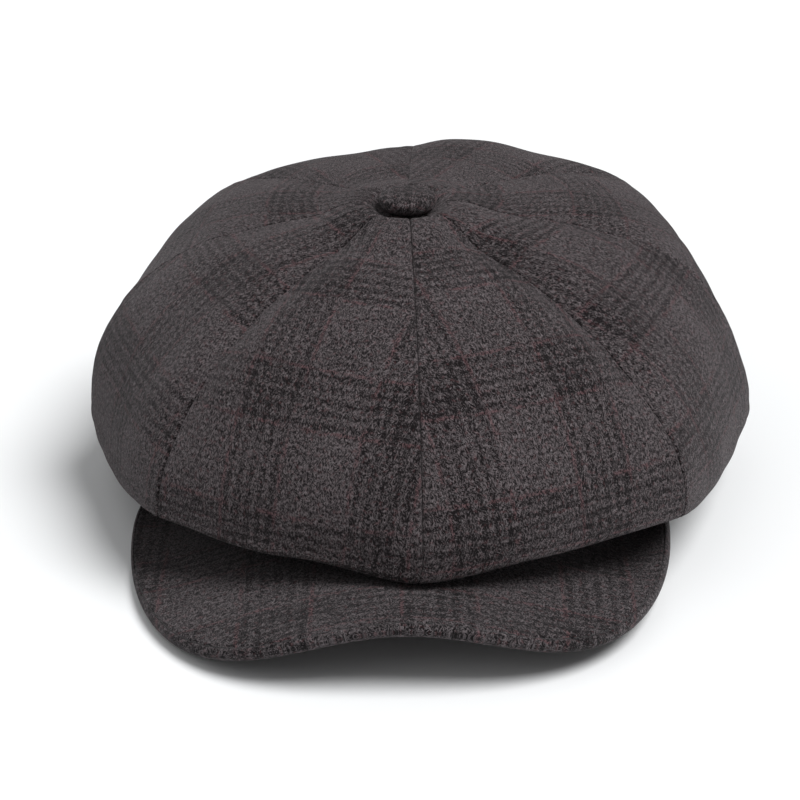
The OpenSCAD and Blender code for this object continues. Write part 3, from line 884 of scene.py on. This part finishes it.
def set_camera():
    """A camera in front of the cap and above it, at the photograph's angle."""
    across, up = math.cos(CAMERA_TILT), math.sin(CAMERA_TILT)
    camera = bpy.data.objects.new("camera", bpy.data.cameras.new("camera"))
    camera.data.lens = LENS
    camera.data.sensor_width = SENSOR
    camera.location = (0, -CAMERA_DISTANCE * across, CAMERA_DISTANCE * up)
    aim = Vector((0, AIM_ABOVE * up, AIM_ABOVE * across))
    camera.rotation_euler = (aim - camera.location).to_track_quat("-Z", "Y").to_euler()
    bpy.context.scene.collection.objects.link(camera)
    bpy.context.scene.camera = camera


# ---- build
def build():
    cloth = wool("wool_crown", WOOL_DARK, WOOL_LIGHT)
    satin = woven("lining_satin", rgb(24, 23, 26), rgb(48, 46, 51), 0.4, 0.05, 0.4, 0.1)
    thread = spun_thread("thread", rgb(24, 23, 24), rgb(60, 58, 60))
    panels(cloth, satin)
    visor(thread)
    bands(cloth)
    dress(button_cover(), "button_cover", cloth)
    patches(satin)
    bare_nodes(thread)


def panels(cloth, satin):
    for k, side in enumerate(SIDES):
        panel = dress(crown_panel(k), "crown_panel_" + side, cloth)
        cut_from(panel)
        panel = dress(lining_panel(k), "lining_panel_" + side, satin)
        cut_from(panel)


def visor(thread):
    """The visor's two covers, in the same plaid as the crown but a little darker, and its stitches."""
    cloth = wool("wool_visor", VISOR_DARK, VISOR_LIGHT)
    cover = dress(visor_cover("visor_top", 1), "visor_top_cover", cloth)
    cut_from(cover)
    cover = dress(visor_cover("visor_under", -1), "visor_under_cover", cloth)
    cut_from(cover)
    dress(visor_stitching(), "visor_edge_stitching", thread)


def bands(cloth):
    """The strips round the head, and the sweatband's stitches."""
    cotton = ribbed("sweatband_cotton", rgb(18, 18, 19), rgb(52, 51, 53), 1.0)
    net = woven("interlining", rgb(40, 38, 40), rgb(62, 60, 62), 1.2, 0.1, 0.8, 0.0)
    thread = spun_thread("band_thread", rgb(70, 69, 70), rgb(110, 108, 110))
    strip = band("headband_wool", BAND_OUT, WOOL_T, 0, BAND_H, 0.9)
    cut_from(dress(strip, "headband", cloth))
    strip = band("sweatband_tape", SWEAT_OUT, SWEAT_T, 0.6, BAND_H - 2, 0.5)
    cut_from(dress(strip, "sweatband", cotton))
    strip = band("stiffener_net", BAND_IN - 0.1, 0.4, 1, BAND_H - 1, 0.15)
    cut_from(dress(strip, "headband_stiffener", net))
    dress(sweatband_stitching(), "sweatband_stitching", thread)


def patches(satin):
    """The fused patch under the crown's button and the lining's own patch."""
    fused = woven("fused_cloth", rgb(44, 42, 44), rgb(66, 63, 66), 0.8, 0.1, 0.9, 0.0)
    outline = patch_outline(PATCH_R, -WOOL_T - PATCH_DROP, PATCH_T, TIE_HOLE_R)
    dress(turned("crown_patch", outline, hole=True), "crown_centre_patch", fused)
    low = -LINING_DROP - LINING_T - LINING_PATCH_DROP
    outline = patch_outline(LINING_PATCH_R, low, LINING_T, TIE_HOLE_R)
    dress(turned("lining_patch", outline, hole=True), "lining_centre_patch", satin)


def bare_nodes(thread):
    """Materials for the CAD nodes that stay as they are."""
    board = moulded("board", rgb(196, 190, 176), rgb(214, 209, 197), 0.6)
    steel = moulded("pressed_steel", rgb(170, 170, 173), rgb(205, 205, 208), 0.35, 1.0)
    for node, material in (("visor_board", board), ("button_shell", steel),
                           ("button_back", steel), ("button_tie", thread)):
        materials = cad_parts[node].data.materials
        materials.clear()
        materials.append(material)


build()
set_floor()
set_lights()
set_camera()
